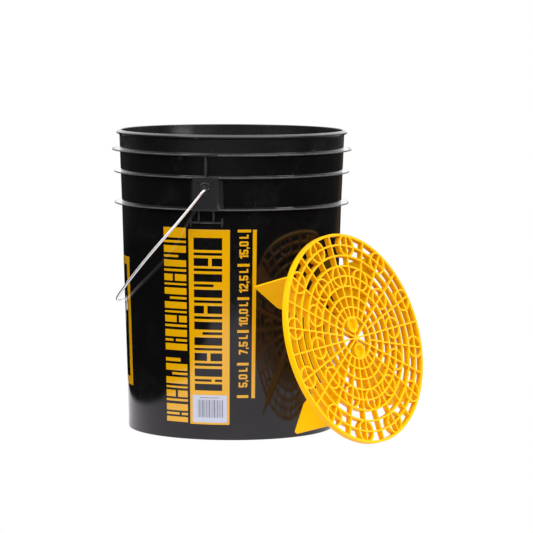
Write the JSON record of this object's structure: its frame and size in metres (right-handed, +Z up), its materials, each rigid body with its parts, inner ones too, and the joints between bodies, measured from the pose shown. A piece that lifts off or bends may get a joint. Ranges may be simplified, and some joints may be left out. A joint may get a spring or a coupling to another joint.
{
  "type": "wash bucket",
  "caption": "Tapered black pail with thin hoops, rim lip, wire bail and front volume scale, and a round yellow grit guard with vane legs leaning on its wall.",
  "frame": {"origin": "centre of the pail's base on the floor", "axes": "+Z up along the pail's axis, -Y towards the printed front and the front ear, the bail hinges about Y and hangs on the -X side"},
  "size_m": [0.4099, 0.3823, 0.3885],
  "materials": {
    "pail_plastic": "glossy moulded polypropylene",
    "wire_steel": "bright zinc-plated wire",
    "guard_plastic": "satin moulded polypropylene, slightly translucent",
    "yellow_ink": "screen-printed ink",
    "white_ink": "screen-printed ink",
    "label_paper": "coated label paper",
    "label_ink": "thermal print"
  },
  "bodies": {
    "bucket": {"bucket_shell": "pail_plastic", "front_bar_print": "yellow_ink", "front_panel_print": "yellow_ink", "volume_scale_print": "yellow_ink", "side_frame_print": "yellow_ink", "side_emblem_print": "white_ink", "barcode_label": "label_paper", "barcode_stripes": "label_ink"},
    "bail": {"bail_wire": "wire_steel"},
    "guard": {"grit_guard": "guard_plastic"}
  },
  "joints": [
    {"name": "bail_hinge", "type": "hinge", "parent": "bucket", "child": "bail", "pos_m": [0, 0, 0.3194], "axis": [0, 1, 0], "range_deg": [0, 226]},
    {"name": "guard_lift_off", "type": "slide", "parent": "bucket", "child": "guard", "axis": [0.8601, -0.4239, 0.2838], "range_m": [0, 0.3]}
  ]
}
